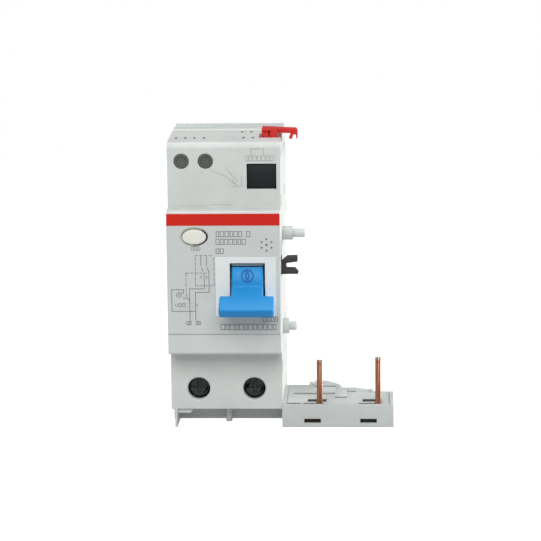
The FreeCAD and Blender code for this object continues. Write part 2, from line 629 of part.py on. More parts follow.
# ---- terminal wing ------------------------------------------------------------------------
WING_WALL = 1.3
WING_OUTLINE = [
    (HALF_W, WING_FRONT), (WING_END, WING_FRONT), (WING_END, -24.0), (46.5, -24.0), (46.1, -20.7),
    (41.0, -19.2), (40.8, -18.3), (35.9, -18.3), (35.6, -14.4), (33.2, -11.2), (31.0, -9.8),
    (25.4, -9.8), (25.1, -14.4), (18.3, -14.4), (HALF_W, -15.0),
]
WING_INSIDE = [
    (HALF_W + 1.2, WING_FRONT + WING_WALL), (WING_END - WING_WALL, WING_FRONT + WING_WALL),
    (WING_END - WING_WALL, -25.3), (45.4, -25.3), (45.0, -21.7), (39.9, -19.9), (34.6, -19.6), (34.4, -14.7),
    (32.4, -12.2), (30.6, -11.1), (26.6, -11.1), (26.3, -15.6), (HALF_W + 1.2, -15.6),
]


def make_wing_base():
    """Tray under the breaker that carries the busbars."""
    body = prism_z(WING_OUTLINE, BASE_Z, WING_TOP).cut(prism_z(WING_INSIDE, BASE_Z + 1.2, WING_TOP + 1))
    body = body.cut(block(HALF_W - 1, HALF_W + 2, -22.8, -15.2, -45.2, -41.2))
    for x in (27.0, 44.6):
        body = body.cut(block(x - 2.6, x + 2.6, WING_FRONT - 1, WING_FRONT + WING_WALL + 1, -46.1, -44.7))
    return body.removeSplitter()


def make_wing_cover():
    """Cover let into the tray, with windows and holes for the contact pins."""
    loop = [V(x, y, WING_TOP - 1.4) for x, y in WING_INSIDE]
    sheet = Part.Face(Part.makePolygon(loop + loop[:1])).makeOffset2D(-0.12, 2)
    body = sheet.extrude(V(0, 0, 1.2))
    cuts = []
    for x, pin_x in zip(SLOT_X, CONTACT_PIN_X):
        cuts.append(block(x - 3.0, x + 3.0, -37.2, -35.2, -43, -39))
        cuts.append(block(pin_x - 1.1, pin_x + 1.1, -41.2, -38.6, -43, -39))
        cuts.append(block(x - 4.2, x + 1.2, -40.7, -40.3, WING_TOP - 0.6, -39))
    cuts.append(block(18.9, 23.2, -40.7, -40.3, WING_TOP - 0.6, -39))
    body = body.cut(cuts)
    pad = block(33.8, 37.7, -32.8, -24.6, WING_TOP - 0.3, WING_TOP + 0.5)
    ledge = block(20.6, 33.7, -27.4, -26.4, WING_TOP - 0.3, WING_TOP + 0.7)
    tongue = prism_z([(26.9, -16.6), (27.1, -12.9), (30.2, -12.9), (31.8, -13.9), (33.9, -16.6)],
                     WING_TOP - 0.3, WING_TOP + 1.1)
    step = prism_z([(34.8, -24.0), (34.8, -22.6), (40.4, -22.6), (44.6, -24.4), (44.6, -25.2), (40.4, -24.0)],
                   WING_TOP - 0.3, WING_TOP + 0.6)
    return body.fuse([pad, ledge, tongue, step]).removeSplitter()


def make_busbars():
    """Two flat copper bars from the leads to the contact pins."""
    left = prism_z([(20.4, -22.4), (23.9, -22.4), (23.9, -19.3), (20.4, -19.3)], *BUSBAR_Z)
    left = left.fuse(block(20.4, 23.9, -41.6, -22.0, *BUSBAR_Z))
    left = left.fuse(block(23.0, 31.0, -41.6, -37.4, *BUSBAR_Z))
    right = prism_z([(20.4, -18.9), (30.0, -18.9), (33.4, -24.0), (41.4, -25.6), (41.4, -41.6), (49.6, -41.6),
                     (49.6, -37.4), (44.6, -37.4), (44.6, -22.9), (39.6, -20.6), (34.1, -20.3), (33.8, -15.9),
                     (20.4, -15.9)], *BUSBAR_Z)
    return Part.makeCompound([left.removeSplitter(), right])


def make_contact_pin(index):
    """Folded copper pin that enters the breaker's terminal."""
    x = CONTACT_PIN_X[index]
    top = CONTACT_PIN_TOP[index]
    pin = block(x - 0.9, x + 0.9, -41.0, -38.8, BUSBAR_Z[1], top)
    pin = pin.makeFillet(0.4, edges_along(pin, V(0, 0, 1), lambda p: True))
    return pin.cut(block(x + 0.05, x + 0.4, -42, -40.3, BUSBAR_Z[1] - 1, top + 1))


# ---- build --------------------------------------------------------------------------------
def build():
    """Every node of the device, by name."""
    nodes = {
        "housing": make_housing(),
        "side_cover": make_side_cover(),
        "housing_rivets": make_rivets(),
        "nose_label": make_label(),
        "nose_stripe": make_stripe(),
        "window_insert": make_window_insert(),
        "blank_plugs": make_blank_plugs(),
        "toggle": make_toggle(),
        "toggle_pin": make_toggle_pin(),
        "toggle_spring": make_toggle_spring(),
        "mechanism_frame": make_mechanism_frame(),
        "trip_fork": make_trip_fork(),
        "trip_shaft": make_trip_shaft(),
        "relay_case": make_relay_case(),
        "relay_coil": make_relay_coil(),
        "relay_plunger": make_relay_plunger(),
        "test_button": make_test_button(),
        "test_spring": make_test_spring(),
        "test_contact": make_test_contact(),
        "circuit_board": make_circuit_board(),
        "test_resistor": make_test_resistor(),
        "toroid_case": make_toroid_case(),
        "toroid_core": make_toroid_core(),
        "toroid_winding": make_toroid_winding(),
        "din_clip": make_din_clip(),
        "din_clip_spring": make_clip_spring(),
        "locking_latch": make_locking_latch(),
        "latch_pin": make_latch_pin(),
        "wing_base": make_wing_base(),
        "wing_cover": make_wing_cover(),
        "wing_busbars": make_busbars(),
    }
    for side, word in ((-1, "left"), (1, "right")):
        nodes["terminal_screw_" + word] = make_terminal_screw(side)
        nodes["clamp_cage_" + word] = make_clamp_cage(side)
        nodes["terminal_bar_" + word] = make_terminal_bar(side)
        nodes["conductor_" + word] = make_conductor(side)
    for index, word in enumerate(("left", "right")):
        nodes["contact_pin_" + word] = make_contact_pin(index)
    return nodes


os.makedirs("parts", exist_ok=True)
for node_name, node_shape in build().items():
    save(node_name, node_shape)
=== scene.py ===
"""Looks of a two-pole residual current block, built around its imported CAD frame."""
import json
import math
import random
import bmesh
import bpy
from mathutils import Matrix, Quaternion, Vector

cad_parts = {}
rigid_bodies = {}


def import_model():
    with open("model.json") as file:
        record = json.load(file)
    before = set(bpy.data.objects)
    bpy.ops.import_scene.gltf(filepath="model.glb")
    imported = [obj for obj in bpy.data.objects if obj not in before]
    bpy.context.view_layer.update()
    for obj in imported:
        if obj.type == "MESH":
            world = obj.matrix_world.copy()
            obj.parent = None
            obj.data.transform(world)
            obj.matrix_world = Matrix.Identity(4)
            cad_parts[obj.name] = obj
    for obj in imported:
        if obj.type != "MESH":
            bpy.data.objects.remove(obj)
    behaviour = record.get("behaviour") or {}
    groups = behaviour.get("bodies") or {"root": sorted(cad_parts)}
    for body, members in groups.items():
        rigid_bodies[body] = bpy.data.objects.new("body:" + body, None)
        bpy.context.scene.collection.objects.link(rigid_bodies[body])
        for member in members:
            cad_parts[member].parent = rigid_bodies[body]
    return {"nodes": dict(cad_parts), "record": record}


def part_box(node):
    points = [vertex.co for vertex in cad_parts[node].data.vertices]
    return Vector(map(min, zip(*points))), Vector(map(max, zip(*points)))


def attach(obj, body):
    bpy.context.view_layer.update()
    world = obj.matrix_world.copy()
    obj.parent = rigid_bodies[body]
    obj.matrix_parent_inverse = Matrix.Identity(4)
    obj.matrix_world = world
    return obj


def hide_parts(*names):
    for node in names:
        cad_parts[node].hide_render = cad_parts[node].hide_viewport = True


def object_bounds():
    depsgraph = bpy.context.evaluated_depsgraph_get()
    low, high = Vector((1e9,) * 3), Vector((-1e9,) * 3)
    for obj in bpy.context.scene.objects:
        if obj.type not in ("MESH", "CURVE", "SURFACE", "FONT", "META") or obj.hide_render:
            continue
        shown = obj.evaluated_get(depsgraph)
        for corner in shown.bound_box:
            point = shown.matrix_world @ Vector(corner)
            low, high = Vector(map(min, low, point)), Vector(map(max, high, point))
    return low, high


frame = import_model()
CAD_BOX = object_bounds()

MM = 0.001                   # metres in a millimetre; sizes below are in mm unless a comment says otherwise
NODES = frame["nodes"]


# ---- procedural materials -----------------------------------------------------------------
def srgb(r, g, b):
    """Linear colour of 0-255 display values."""
    def linear(c):
        c /= 255.0
        return c / 12.92 if c <= 0.04045 else ((c + 0.055) / 1.055) ** 2.4
    return tuple(linear(c) for c in (r, g, b)) + (1.0,)


# Scales of the noise textures, in features per metre of surface
FLOW_SCALE = 90.0            # slow mottling of moulded plastic
CLOUD_SCALE = 260.0          # tarnish on metal
RESIN_SCALE = 500.0          # uneven gloss of resin
WEAR_SCALE = 700.0           # uneven gloss of plastic
FINE_WEAR_SCALE = 900.0      # uneven gloss of ink and of wound wire
THREAD_SCALE = 900.0         # bands of woven glass
INK_SCALE = 1400.0           # uneven cover of ink
GRAIN_SCALE = 1500.0         # spark-eroded mould texture
LINE_SCALE = 1800.0          # drawn or brushed lines
FIBRE_SCALE = 2000.0         # fine relief of the glass cloth
SPECK_SCALE = 2600.0         # dark specks in plastic

RUBBED_RADIUS = 0.3          # width over which a sharp edge counts as rubbed
MOULDED_RADIUS = 0.25        # radius that moulded edges seem to have


class Graph:
    """Short hand for building one node material."""

    def __init__(self, name):
        self.material = bpy.data.materials.new(name)
        self.material.use_nodes = True
        self.nodes = self.material.node_tree.nodes
        self.links = self.material.node_tree.links
        self.nodes.clear()
        self.out = self.nodes.new("ShaderNodeOutputMaterial")
        self.shader = self.nodes.new("ShaderNodeBsdfPrincipled")
        self.links.new(self.shader.outputs[0], self.out.inputs["Surface"])
        self.place = self.nodes.new("ShaderNodeTexCoord").outputs["Object"]

    def stretched(self, stretch):
        """Object coordinates scaled per axis, for brushed or drawn surfaces."""
        mapping = self.nodes.new("ShaderNodeMapping")
        mapping.inputs["Scale"].default_value = stretch
        self.links.new(self.place, mapping.inputs["Vector"])
        return mapping.outputs["Vector"]

    def noise(self, scale, detail=3.0, place=None):
        """Cloudy value of about 0.3 to 0.7."""
        node = self.nodes.new("ShaderNodeTexNoise")
        node.inputs["Scale"].default_value = scale
        node.inputs["Detail"].default_value = detail
        node.inputs["Roughness"].default_value = 0.55
        self.links.new(place or self.place, node.inputs["Vector"])
        return node.outputs["Fac"]

    def cells(self, scale):
        """Distance to the nearest of many scattered points."""
        node = self.nodes.new("ShaderNodeTexVoronoi")
        node.inputs["Scale"].default_value = scale
        self.links.new(self.place, node.inputs["Vector"])
        return node.outputs["Distance"]

    def bands(self, scale, direction, distortion):
        """Parallel waves along one axis, slightly uneven."""
        node = self.nodes.new("ShaderNodeTexWave")
        node.bands_direction = direction
        node.inputs["Scale"].default_value = scale
        node.inputs["Distortion"].default_value = distortion
        self.links.new(self.place, node.inputs["Vector"])
        return node.outputs["Fac"]

    def remap(self, value, low, high, start=0.3, end=0.7):
        """Value between start and end turned into one between low and high."""
        node = self.nodes.new("ShaderNodeMapRange")
        node.inputs["From Min"].default_value = start
        node.inputs["From Max"].default_value = end
        node.inputs["To Min"].default_value = low
        node.inputs["To Max"].default_value = high
        self.links.new(value, node.inputs["Value"])
        return node.outputs["Result"]

    def blend(self, factor, a, b):
        """Colour between a and b; either may be a socket or a colour."""
        node = self.nodes.new("ShaderNodeMix")
        node.data_type = "RGBA"
        self.links.new(factor, node.inputs["Factor"])
        for name, colour in (("A", a), ("B", b)):
            socket = [s for s in node.inputs if s.name == name and s.type == "RGBA"][0]
            if isinstance(colour, tuple):
                socket.default_value = colour
            else:
                self.links.new(colour, socket)
        return [s for s in node.outputs if s.type == "RGBA"][0]

    def worn_edges(self):
        """Close to 1 along sharp edges, where a bevelled normal leaves the true one."""
        eased = self.nodes.new("ShaderNodeBevel")
        eased.samples = 4
        eased.inputs["Radius"].default_value = RUBBED_RADIUS * MM
        geometry = self.nodes.new("ShaderNodeNewGeometry")
        turn = self.nodes.new("ShaderNodeVectorMath")
        turn.operation = "DOT_PRODUCT"
        self.links.new(eased.outputs["Normal"], turn.inputs[0])
        self.links.new(geometry.outputs["Normal"], turn.inputs[1])
        return self.remap(turn.outputs["Value"], 1.0, 0.0, 0.85, 0.99)

    def bump(self, layers, eased=0.0):
        """Bumps stacked from (height, distance in mm) pairs on edges eased by a radius in mm."""
        normal = None
        if eased:
            node = self.nodes.new("ShaderNodeBevel")
            node.samples = 4
            node.inputs["Radius"].default_value = eased * MM
            normal = node.outputs["Normal"]
        for height, distance in layers:
            node = self.nodes.new("ShaderNodeBump")
            node.inputs["Strength"].default_value = 1.0
            node.inputs["Distance"].default_value = distance * MM
            self.links.new(height, node.inputs["Height"])
            if normal:
                self.links.new(normal, node.inputs["Normal"])
            normal = node.outputs["Normal"]
        if normal:
            self.links.new(normal, self.shader.inputs["Normal"])

    def set(self, name, value):
        """Give a shader input a constant or link it to a socket."""
        if isinstance(value, bpy.types.NodeSocket):
            self.links.new(value, self.shader.inputs[name])
        else:
            self.shader.inputs[name].default_value = value


def shade(colour, factor):
    """The same hue made darker or lighter."""
    return tuple(min(1.0, c * factor) for c in colour[:3]) + (1.0,)


def plastic(name, colour, rough, grain, mottle, specular):
    """Moulded plastic: faint flow mottling, fine spark-eroded grain, eased and slightly rubbed edges."""
    graph = Graph(name)
    flow = graph.noise(FLOW_SCALE, 4.0)
    speck = graph.noise(SPECK_SCALE, 2.0)
    body = graph.blend(graph.remap(flow, 0.0, 1.0), shade(colour, 1.0 - mottle), shade(colour, 1.0 + mottle))
    body = graph.blend(graph.remap(speck, 0.0, 0.35, 0.35, 0.7), body, shade(colour, 0.9))
    graph.set("Base Color", graph.blend(graph.worn_edges(), body, shade(colour, 1.12)))
    graph.set("Roughness", graph.remap(graph.noise(WEAR_SCALE), rough - 0.06, rough + 0.08))
    graph.set("Specular IOR Level", specular)
    graph.bump([(graph.cells(GRAIN_SCALE), grain), (flow, grain)], MOULDED_RADIUS)
    return graph.material


def metal(name, colour, rough, stretch, scratch=0.01, eased=0.12, tarnish=0.75, rubbed=1.3):
    """Plated or bare metal: drawn lines along one axis, cloudy tarnish and brighter edges."""
    graph = Graph(name)
    cloud = graph.noise(CLOUD_SCALE, 5.0)
    lines = graph.noise(LINE_SCALE, 3.0, graph.stretched(stretch))
    body = graph.blend(graph.remap(cloud, 0.0, 1.0), shade(colour, tarnish), colour)
    body = graph.blend(graph.remap(lines, 0.0, 0.4), body, shade(colour, 0.82))
    graph.set("Base Color", graph.blend(graph.worn_edges(), body, shade(colour, rubbed)))
    graph.set("Metallic", 1.0)
    graph.set("Roughness", graph.remap(cloud, rough - 0.08, rough + 0.12))
    graph.bump([(lines, scratch)], eased)
    return graph.material


def wound(name, colour, scale, direction, depth):
    """Close turns of wire or strip, seen as fine bands with painted shade between the turns."""
    graph = Graph(name)
    turns = graph.bands(scale, direction, 0.4)
    # Painted shade: each band darkens to 0.35 of the colour, for the shade in the creases between the turns;
    # the bump gives the real relief
    graph.set("Base Color", graph.blend(graph.remap(turns, 0.0, 1.0, 0.0, 0.6), shade(colour, 0.35), colour))
    graph.set("Metallic", 1.0)
    graph.set("Roughness", graph.remap(graph.noise(FINE_WEAR_SCALE), 0.25, 0.45))
    graph.bump([(turns, depth)])
    return graph.material


def laminate(name, colour):
    """Glass laminate: woven bands under a tinted resin."""
    graph = Graph(name)
    weave = graph.blend(graph.bands(THREAD_SCALE, "X", 0.3), shade(colour, 0.75), colour)
    cross = graph.remap(graph.bands(THREAD_SCALE, "Z", 0.3), 0.0, 0.5)
    graph.set("Base Color", graph.blend(cross, weave, shade(colour, 1.3)))
    graph.set("Roughness", graph.remap(graph.noise(RESIN_SCALE), 0.3, 0.5))
    graph.bump([(graph.noise(FIBRE_SCALE), 0.01)], 0.1)
    return graph.material


def plastics():
    """Every plastic: colour, roughness, depth of the grain, mottling, specular level."""
    table = (
        ("body_plastic", srgb(207, 211, 208), 0.46, 0.012, 0.05, 0.5),
        ("pale_plastic", srgb(228, 233, 230), 0.42, 0.006, 0.03, 0.5),
        ("wing_plastic", srgb(196, 201, 199), 0.46, 0.012, 0.05, 0.5),
        # painted shade: mid-grey for the foot of the wing cover's raised parts
        ("shaded_plastic", srgb(132, 138, 135), 0.6, 0.012, 0.05, 0.5),
        # painted shade: grey-blue for the shaded chamfer over the toggle's window and the band standing for
        # it on the drum
        ("lintel_plastic", srgb(150, 176, 188), 0.5, 0.006, 0.08, 0.5),
        ("label_film", srgb(203, 207, 204), 0.38, 0.004, 0.025, 0.5),
        ("red_stripe", srgb(206, 30, 14), 0.42, 0.004, 0.06, 0.3),
        ("black_plastic", srgb(21, 25, 27), 0.5, 0.006, 0.12, 0.3),
        ("grey_plastic", srgb(80, 84, 80), 0.6, 0.02, 0.12, 0.5),
        ("blue_plastic", srgb(18, 142, 212), 0.44, 0.008, 0.05, 0.35),
        ("cream_plastic", srgb(230, 229, 219), 0.34, 0.004, 0.03, 0.5),
        ("red_plastic", srgb(204, 34, 26), 0.42, 0.008, 0.08, 0.4),
        ("dark_plastic", srgb(45, 47, 45), 0.5, 0.012, 0.12, 0.5),
        ("clip_plastic", srgb(62, 64, 64), 0.5, 0.012, 0.12, 0.5),
        ("wire_sleeve", srgb(48, 48, 54), 0.42, 0.004, 0.1, 0.5),
        ("resistor_ceramic", srgb(206, 190, 156), 0.3, 0.012, 0.08, 0.5),
    )
    return {row[0]: plastic(*row) for row in table}


def metals():
    """Every metal; the lines run along the axis that has the small stretch."""
    along_x, along_y, along_z = (0.2, 1.0, 1.0), (1.0, 0.3, 1.0), (1.0, 1.0, 0.06)
    return {
        "rivet_steel": metal("rivet_steel", srgb(196, 198, 198), 0.34, along_x),
        "zinc_steel": metal("zinc_steel", srgb(186, 188, 186), 0.38, (1.0, 0.15, 1.0)),
        "spring_steel": metal("spring_steel", srgb(180, 182, 184), 0.26, along_y),
        "contact_brass": metal("contact_brass", srgb(206, 176, 112), 0.3, along_x),
        "bare_copper": metal("bare_copper", srgb(178, 126, 100), 0.34, along_z,
                             scratch=0.004, eased=0.0, tarnish=0.85, rubbed=1.0),
        # painted shade: darker, duller copper for the busbars, seen in shade through the wing's slots
        "aged_copper": metal("aged_copper", srgb(104, 92, 78), 0.5, along_x, tarnish=0.5),
        "dark_screw": metal("dark_screw", srgb(74, 80, 77), 0.42, along_y, eased=0.1),
        "winding_copper": wound("winding_copper", srgb(200, 112, 70), 420.0, "Z", 0.12),
        "core_alloy": wound("core_alloy", srgb(128, 130, 134), 900.0, "Y", 0.03),
    }


MATERIALS = {**plastics(), **metals(), "board_laminate": laminate("board_laminate", srgb(74, 120, 78))}


def node_slots():
    """Material slot of every CAD node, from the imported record."""
    return {item["node"]: item["material_slot"] for item in frame["record"]["subparts"]}


def dress(obj, material):
    """Give a piece one material in place of what it had."""
    obj.data.materials.clear()
    obj.data.materials.append(material)


# ---- mesh helpers -------------------------------------------------------------------------
def new_object(name, mesh, body, material, smooth=30.0):
    """Piece that rides a body. Edges sharper than smooth degrees stay sharp, and None keeps it faceted."""
    obj = bpy.data.objects.new(name, mesh)
    bpy.context.scene.collection.objects.link(obj)
    if smooth:
        mesh.shade_smooth()
        mesh.set_sharp_from_angle(angle=math.radians(smooth))
    dress(obj, material)
    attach(obj, body)
    return obj


def body_of_node(node):
    """Name of the body that a CAD node belongs to."""
    return NODES[node].parent.name.split(":", 1)[1]


def softened(name, node, material, width, segments):
    """Copy of a CAD node with its sharp edges rounded by width mm. It stands for the node."""
    bm = bmesh.new()
    bm.from_mesh(NODES[node].data)
    bmesh.ops.remove_doubles(bm, verts=bm.verts, dist=0.002 * MM)
    bmesh.ops.dissolve_limit(bm, angle_limit=math.radians(1.5), verts=bm.verts, edges=bm.edges)
    limit = math.radians(35.0)
    edges = [e for e in bm.edges if len(e.link_faces) == 2 and e.calc_face_angle() > limit]
    bmesh.ops.bevel(bm, geom=edges, offset=width * MM, offset_type="OFFSET", segments=segments,
                    profile=0.5, affect="EDGES", clamp_overlap=True)
    bmesh.ops.recalc_face_normals(bm, faces=bm.faces)
    mesh = bpy.data.meshes.new(name)
    bm.to_mesh(mesh)
    bm.free()
    for stale in ("custom_normal", "sharp_face", "sharp_edge"):
        if stale in mesh.attributes:
            mesh.attributes.remove(mesh.attributes[stale])
    obj = new_object(name, mesh, body_of_node(node), material)
    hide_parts(node)
    return obj


class Relief:
    """Collects low raised shapes on one plane into a single closed mesh.

    The plane has its own u and v axes; a shape is drawn in millimetres and raised along the normal."""

    def __init__(self, origin, u, v, height, sink=0.02):
        self.bm = bmesh.new()
        self.origin = Vector(origin) * MM
        self.u = Vector(u)
        self.v = Vector(v)
        self.normal = self.u.cross(self.v).normalized()
        self.height = height * MM
        self.sink = sink * MM

    def at(self, origin):
        """Move the plane, for the shapes drawn from here on."""
        self.origin = Vector(origin) * MM
        return self

    def place(self, u, v, lift):
        return self.origin + self.u * (u * MM) + self.v * (v * MM) + self.normal * lift

    def polygon(self, points):
        """A flat plate with the outline given anticlockwise as seen from the front."""
        low = [self.bm.verts.new(self.place(u, v, -self.sink)) for u, v in points]
        high = [self.bm.verts.new(self.place(u, v, self.height)) for u, v in points]
        count = len(points)
        self.bm.faces.new(high)
        self.bm.faces.new(low[::-1])
        for i in range(count):
            j = (i + 1) % count
            self.bm.faces.new((low[i], low[j], high[j], high[i]))

    def box(self, u0, u1, v0, v1):
        self.polygon([(u0, v0), (u1, v0), (u1, v1), (u0, v1)])

    def line(self, a, b, width=0.22):
        """Straight stroke with square ends."""
        along = Vector((b[0] - a[0], b[1] - a[1])).normalized() * (width / 2)
        across = Vector((-along.y, along.x))
        ax, ay = a[0] - along.x, a[1] - along.y
        bx, by = b[0] + along.x, b[1] + along.y
        self.polygon([(ax - across.x, ay - across.y), (bx - across.x, by - across.y),
                      (bx + across.x, by + across.y), (ax + across.x, ay + across.y)])

    def path(self, points, width=0.22):
        """Stroke with square ends and corners through several points."""
        for a, b in zip(points, points[1:]):
            self.line(a, b, width)

    def dashed(self, a, b, dash=0.9, gap=0.6, width=0.2):
        """Broken stroke; the dashes are fitted to the length."""
        run = Vector((b[0] - a[0], b[1] - a[1]))
        step = run.normalized()
        count = max(1, round(run.length / (dash + gap)))
        pitch = run.length / count
        for i in range(count):
            start = Vector(a) + step * (i * pitch)
            self.line(start, start + step * (pitch - gap), width)

    def ring(self, u, v, outer, inner, steps=32, start=0.0, sweep=360.0, squash=1.0):
        """Round band, or part of one, made of short plates."""
        turns = [math.radians(start + sweep * i / steps) for i in range(steps + 1)]
        for a, b in zip(turns, turns[1:]):
            self.polygon([(u + inner * math.cos(a), v + inner * math.sin(a) * squash),
                          (u + outer * math.cos(a), v + outer * math.sin(a) * squash),
                          (u + outer * math.cos(b), v + outer * math.sin(b) * squash),
                          (u + inner * math.cos(b), v + inner * math.sin(b) * squash)])

    def dot(self, u, v, radius, steps=16):
        """Filled disc."""
        self.polygon([(u + radius * math.cos(2 * math.pi * i / steps),
                       v + radius * math.sin(2 * math.pi * i / steps)) for i in range(steps)])

    def rows(self, u0, u1, v0, v1, seed, stroke, gap):
        """A line of empty frames that fills a box: it stands for print and has no letters."""
        order = random.Random(seed)
        height = v1 - v0
        u = u0
        while u < u1 - 0.35 * height:
            width = min(u1 - u, height * order.choice((0.5, 0.62, 0.7)))
            self.path([(u, v0), (u + width, v0), (u + width, v1), (u, v1), (u, v0)], stroke)
            u += width + gap

    def finish(self, name, body, material):
        """Turn what was drawn into one piece."""
        mesh = bpy.data.meshes.new(name)
        self.bm.to_mesh(mesh)
        self.bm.free()
        return new_object(name, mesh, body, material, smooth=None)


FRONT = ((1, 0, 0), (0, 0, 1))        # u and v on a face that looks forwards, towards -Y
LEFT = ((0, -1, 0), (0, 0, 1))        # on a face that looks towards -X
RIGHT = ((0, 1, 0), (0, 0, 1))        # on a face that looks towards +X
TOP = ((1, 0, 0), (0, 1, 0))          # on a face that looks upwards


def ink(name, colour):
    """Thin printed layer with a little unevenness; also used for painted shade and shadow."""
    graph = Graph(name)
    uneven = graph.remap(graph.noise(INK_SCALE), 0.0, 1.0)
    graph.set("Base Color", graph.blend(uneven, shade(colour, 0.85), shade(colour, 1.15)))
    graph.set("Roughness", graph.remap(graph.noise(FINE_WEAR_SCALE), 0.45, 0.55))
    graph.set("Specular IOR Level", 0.2)
    return graph.material


INK = ink("label_ink", srgb(126, 131, 130))
# Pale grey for the faint moulded marks, and for the painted shadow under the film's lower edge
FAINT_INK_AND_SHADOW = ink("faint_ink", srgb(166, 171, 168))
# Painted shade: the raised off mark on the toggle gets a darker blue than the drum, for the shade of its
# embossing
MARK_SHADE_BLUE = ink("mark_blue", srgb(8, 104, 172))


# ---- places, in millimetres ---------------------------------------------------------------
X, Y, Z = 0, 1, 2


def span(node, axis):
    """Low and high end of a CAD node along an axis, to a hundredth of a millimetre."""
    return [round(corner[axis] / MM, 2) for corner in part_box(node)]


def middle(node, axis):
    """Place halfway between a CAD node's ends along an axis."""
    return round(sum(span(node, axis)) / 2, 2)


CASE_HALF = span("nose_stripe", X)[1]        # half the width of the case
FILM_Y, NOSE_Y = span("nose_label", Y)       # front of the printed film and of the bare nose
FILM_LOW = span("nose_label", Z)[0]          # lower edge of the film
SHOULDER_Y = -44.0                           # front of the upper shoulder

TOGGLE_X = middle("toggle", X)
TOGGLE_AXIS = Vector((TOGGLE_X, -43.0, -1.0))     # the toggle turns about X through this point
DRUM_RADIUS = 9.5
DRUM_HALF = 4.88                             # half the drum's width, less a hair
WINDOW_HALF = 5.5                            # half the width of the toggle's window
WINDOW_Z = (-8.1, 6.3)                       # lower and upper edge of the toggle's window

BUTTON_X = middle("test_button", X)
BUTTON_Z = middle("test_button", Z)

COVER_Z = span("wing_base", Z)[1] - 0.2      # flat top of the wing's cover, just under the tray's rim
WING_WINDOW_X = (28.3, 45.7)                 # middle of each window in the wing's cover


# ---- CAD nodes that keep their shape ------------------------------------------------------
def dress_frame():
    """Give every CAD node the material of its slot; the busbars get a darker copper, painted shade for where
    they sit behind the wing's slots.
    """
    slots = node_slots()
    for name, obj in NODES.items():
        dress(obj, MATERIALS[slots[name]])
    dress(NODES["wing_busbars"], MATERIALS["aged_copper"])


# ---- rounded copies of the small parts ----------------------------------------------------
def round_small_parts():
    """Small parts with real rounded edges: piece, node, slot, material, width in mm, segments."""
    table = [
        ("toggle_grip", "toggle", "blue_plastic", "blue_plastic", 0.6, 4),
        ("test_cap", "test_button", "cream_plastic", "cream_plastic", 0.35, 3),
        ("lock_latch", "locking_latch", "red_plastic", "red_plastic", 0.2, 2),
        ("coupling_fork", "trip_fork", "black_plastic", "dark_plastic", 0.25, 2),
        ("hole_plugs", "blank_plugs", "grey_plastic", "grey_plastic", 0.12, 2),
        ("window_block", "window_insert", "black_plastic", "black_plastic", 0.25, 2),
        ("rail_clip", "din_clip", "clip_plastic", "clip_plastic", 0.25, 2),
        ("wing_tray", "wing_base", "body_plastic", "wing_plastic", 0.2, 2),
        ("wing_front_plate", "wing_cover", "body_plastic", "wing_plastic", 0.1, 2),
    ]
    table += [("clamp_screw_" + side, "terminal_screw_" + side, "dark_screw", "dark_screw", 0.15, 2)
              for side in ("left", "right")]
    for name, node, slot, material, width, segments in table:
        softened(name, node, MATERIALS[material], width, segments)


# ---- print on the nose and the shoulder, and a painted shadow under the film --------------
def print_breaker(relief):
    """Dashed box of the breaker next door, with its two contacts and their coils."""
    left, right, top, bottom = -8.67, -2.95, 8.7, -0.75
    relief.dashed((left, top), (right, top))
    relief.dashed((left, bottom), (right, bottom))
    relief.dashed((left, bottom), (left, top))
    relief.dashed((right, bottom), (right, top))
    for x in (-6.94, -5.21):
        relief.line((x, 8.4), (x, 5.6))
        relief.line((x + 0.1, 4.9), (x + 0.7, 3.7))
        relief.ring(x + 0.3, 2.0, 0.55, 0.35, 8, 100, 160)


def print_leads(relief):
    """The two leads, and the dashed trip link from the coil to the contacts."""
    link_x, link_z = -11.6, 3.25
    relief.line((-6.0, link_z), (-6.0, -1.6))
    relief.line((-4.5, 3.9), (-4.5, -2.8))
    relief.dashed((link_x, link_z), (-4.6, link_z))
    relief.dashed((link_x, link_z), (link_x, -4.6))
    relief.path([(-6.28, -1.71), (-10.56, -1.71), (-10.56, -11.9)])
    relief.path([(-4.5, -2.82), (-8.75, -2.82), (-8.75, -11.55)])


def print_test_branch(relief):
    """Test branch with its push button, and the summation coil round the leads."""
    button_x, button_z = -13.9, -3.6
    coil_x, coil_z = -11.6, -6.8
    relief.path([(-8.8, -8.8), (-16.1, -8.8), (-16.1, -2.0), (-12.4, -2.0)])
    relief.path([(-12.4, -2.0), (-12.4, -3.0), (-13.2, -3.0)])
    relief.ring(button_x, button_z, 0.85, 0.65, 20)
    relief.dot(button_x, button_z, 0.25)
    relief.path([(-12.6, -4.6), (-11.4, -4.6), (-10.7, -5.2)])
    relief.ring(coil_x, coil_z, 3.6, 3.38, 32, squash=0.18)
    for x in (-13.6, -12.4):
        relief.ring(x, coil_z, 0.55, 0.37, 14)


def print_approval(relief):
    """Six dots round a larger one, in place of an approval mark."""
    centre_x, centre_z, spread = 13.4, 12.0, 1.75
    for turn in range(6):
        angle = math.radians(60 * turn + 30)
        relief.dot(centre_x + spread * math.cos(angle), centre_z + spread * math.sin(angle), 0.34)
    relief.dot(centre_x, centre_z, 0.42)


def print_label():
    """Print of the nose: rows of empty frames where the text stood, and the diagram."""
    relief = Relief((0, FILM_Y, 0), *FRONT, height=0.025)
    print_breaker(relief)
    print_leads(relief)
    print_test_branch(relief)
    large, small, tiny = (0.2, 0.42), (0.18, 0.3), (0.15, 0.3)        # stroke and gap
    rows = (
        (-2.1, 5.8, 14.6, 16.2, large),
        (7.2, 8.6, 14.6, 16.2, large),
        (-2.2, 7.7, 12.2, 13.8, large),
        (-2.2, 0.9, 9.4, 10.8, large),
        (-9.9, -6.5, 10.4, 11.5, tiny),
        (-11.6, -10.2, -13.0, -12.0, small),
        (-8.6, -6.8, -13.0, -12.0, small),
        (12.1, 16.6, -12.0, -10.7, large),
        (-1.0, 16.6, -14.6, -12.9, large),
    )
    for count, (x0, x1, z0, z1, (stroke, gap)) in enumerate(rows):
        relief.rows(x0, x1, z0, z1, 3 + 2 * count, stroke, gap)
    print_approval(relief)
    return relief.finish("nose_print", "case", INK)


